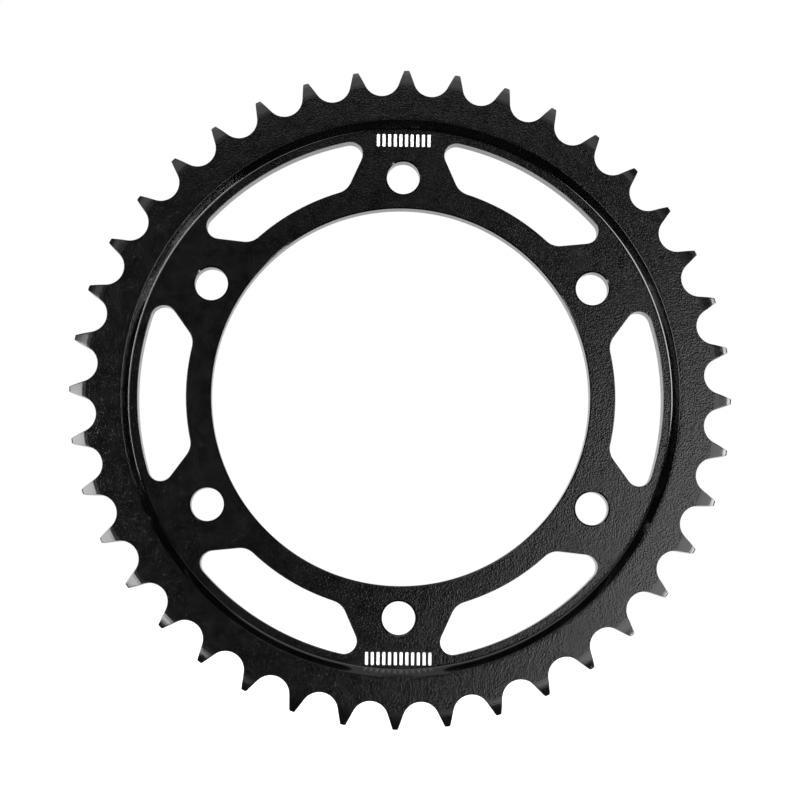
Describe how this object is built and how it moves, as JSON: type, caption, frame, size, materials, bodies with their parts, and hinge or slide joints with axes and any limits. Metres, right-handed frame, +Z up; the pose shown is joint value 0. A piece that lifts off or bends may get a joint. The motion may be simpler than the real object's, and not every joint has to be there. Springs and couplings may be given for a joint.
{
  "type": "motorcycle rear sprocket",
  "caption": "Flat toothed chain sprocket with a recessed web, a large bore, a circle of bolt holes and a curved slot between each two holes.",
  "frame": {"origin": "on the axis of the bore, half way through the tooth width, where the chain's centre line runs", "axes": "+Y along the axis from the recessed outer side to the flat side that seats on the hub, +Z up through one bolt hole, +X right as seen from the outer side"},
  "size_m": [0.2092, 0.0088, 0.2092],
  "materials": {
    "black_coat": "satin black coat with a fine orange peel grain over machined steel"
  },
  "bodies": {
    "root": {"sprocket": "black_coat"}
  },
  "joints": []
}
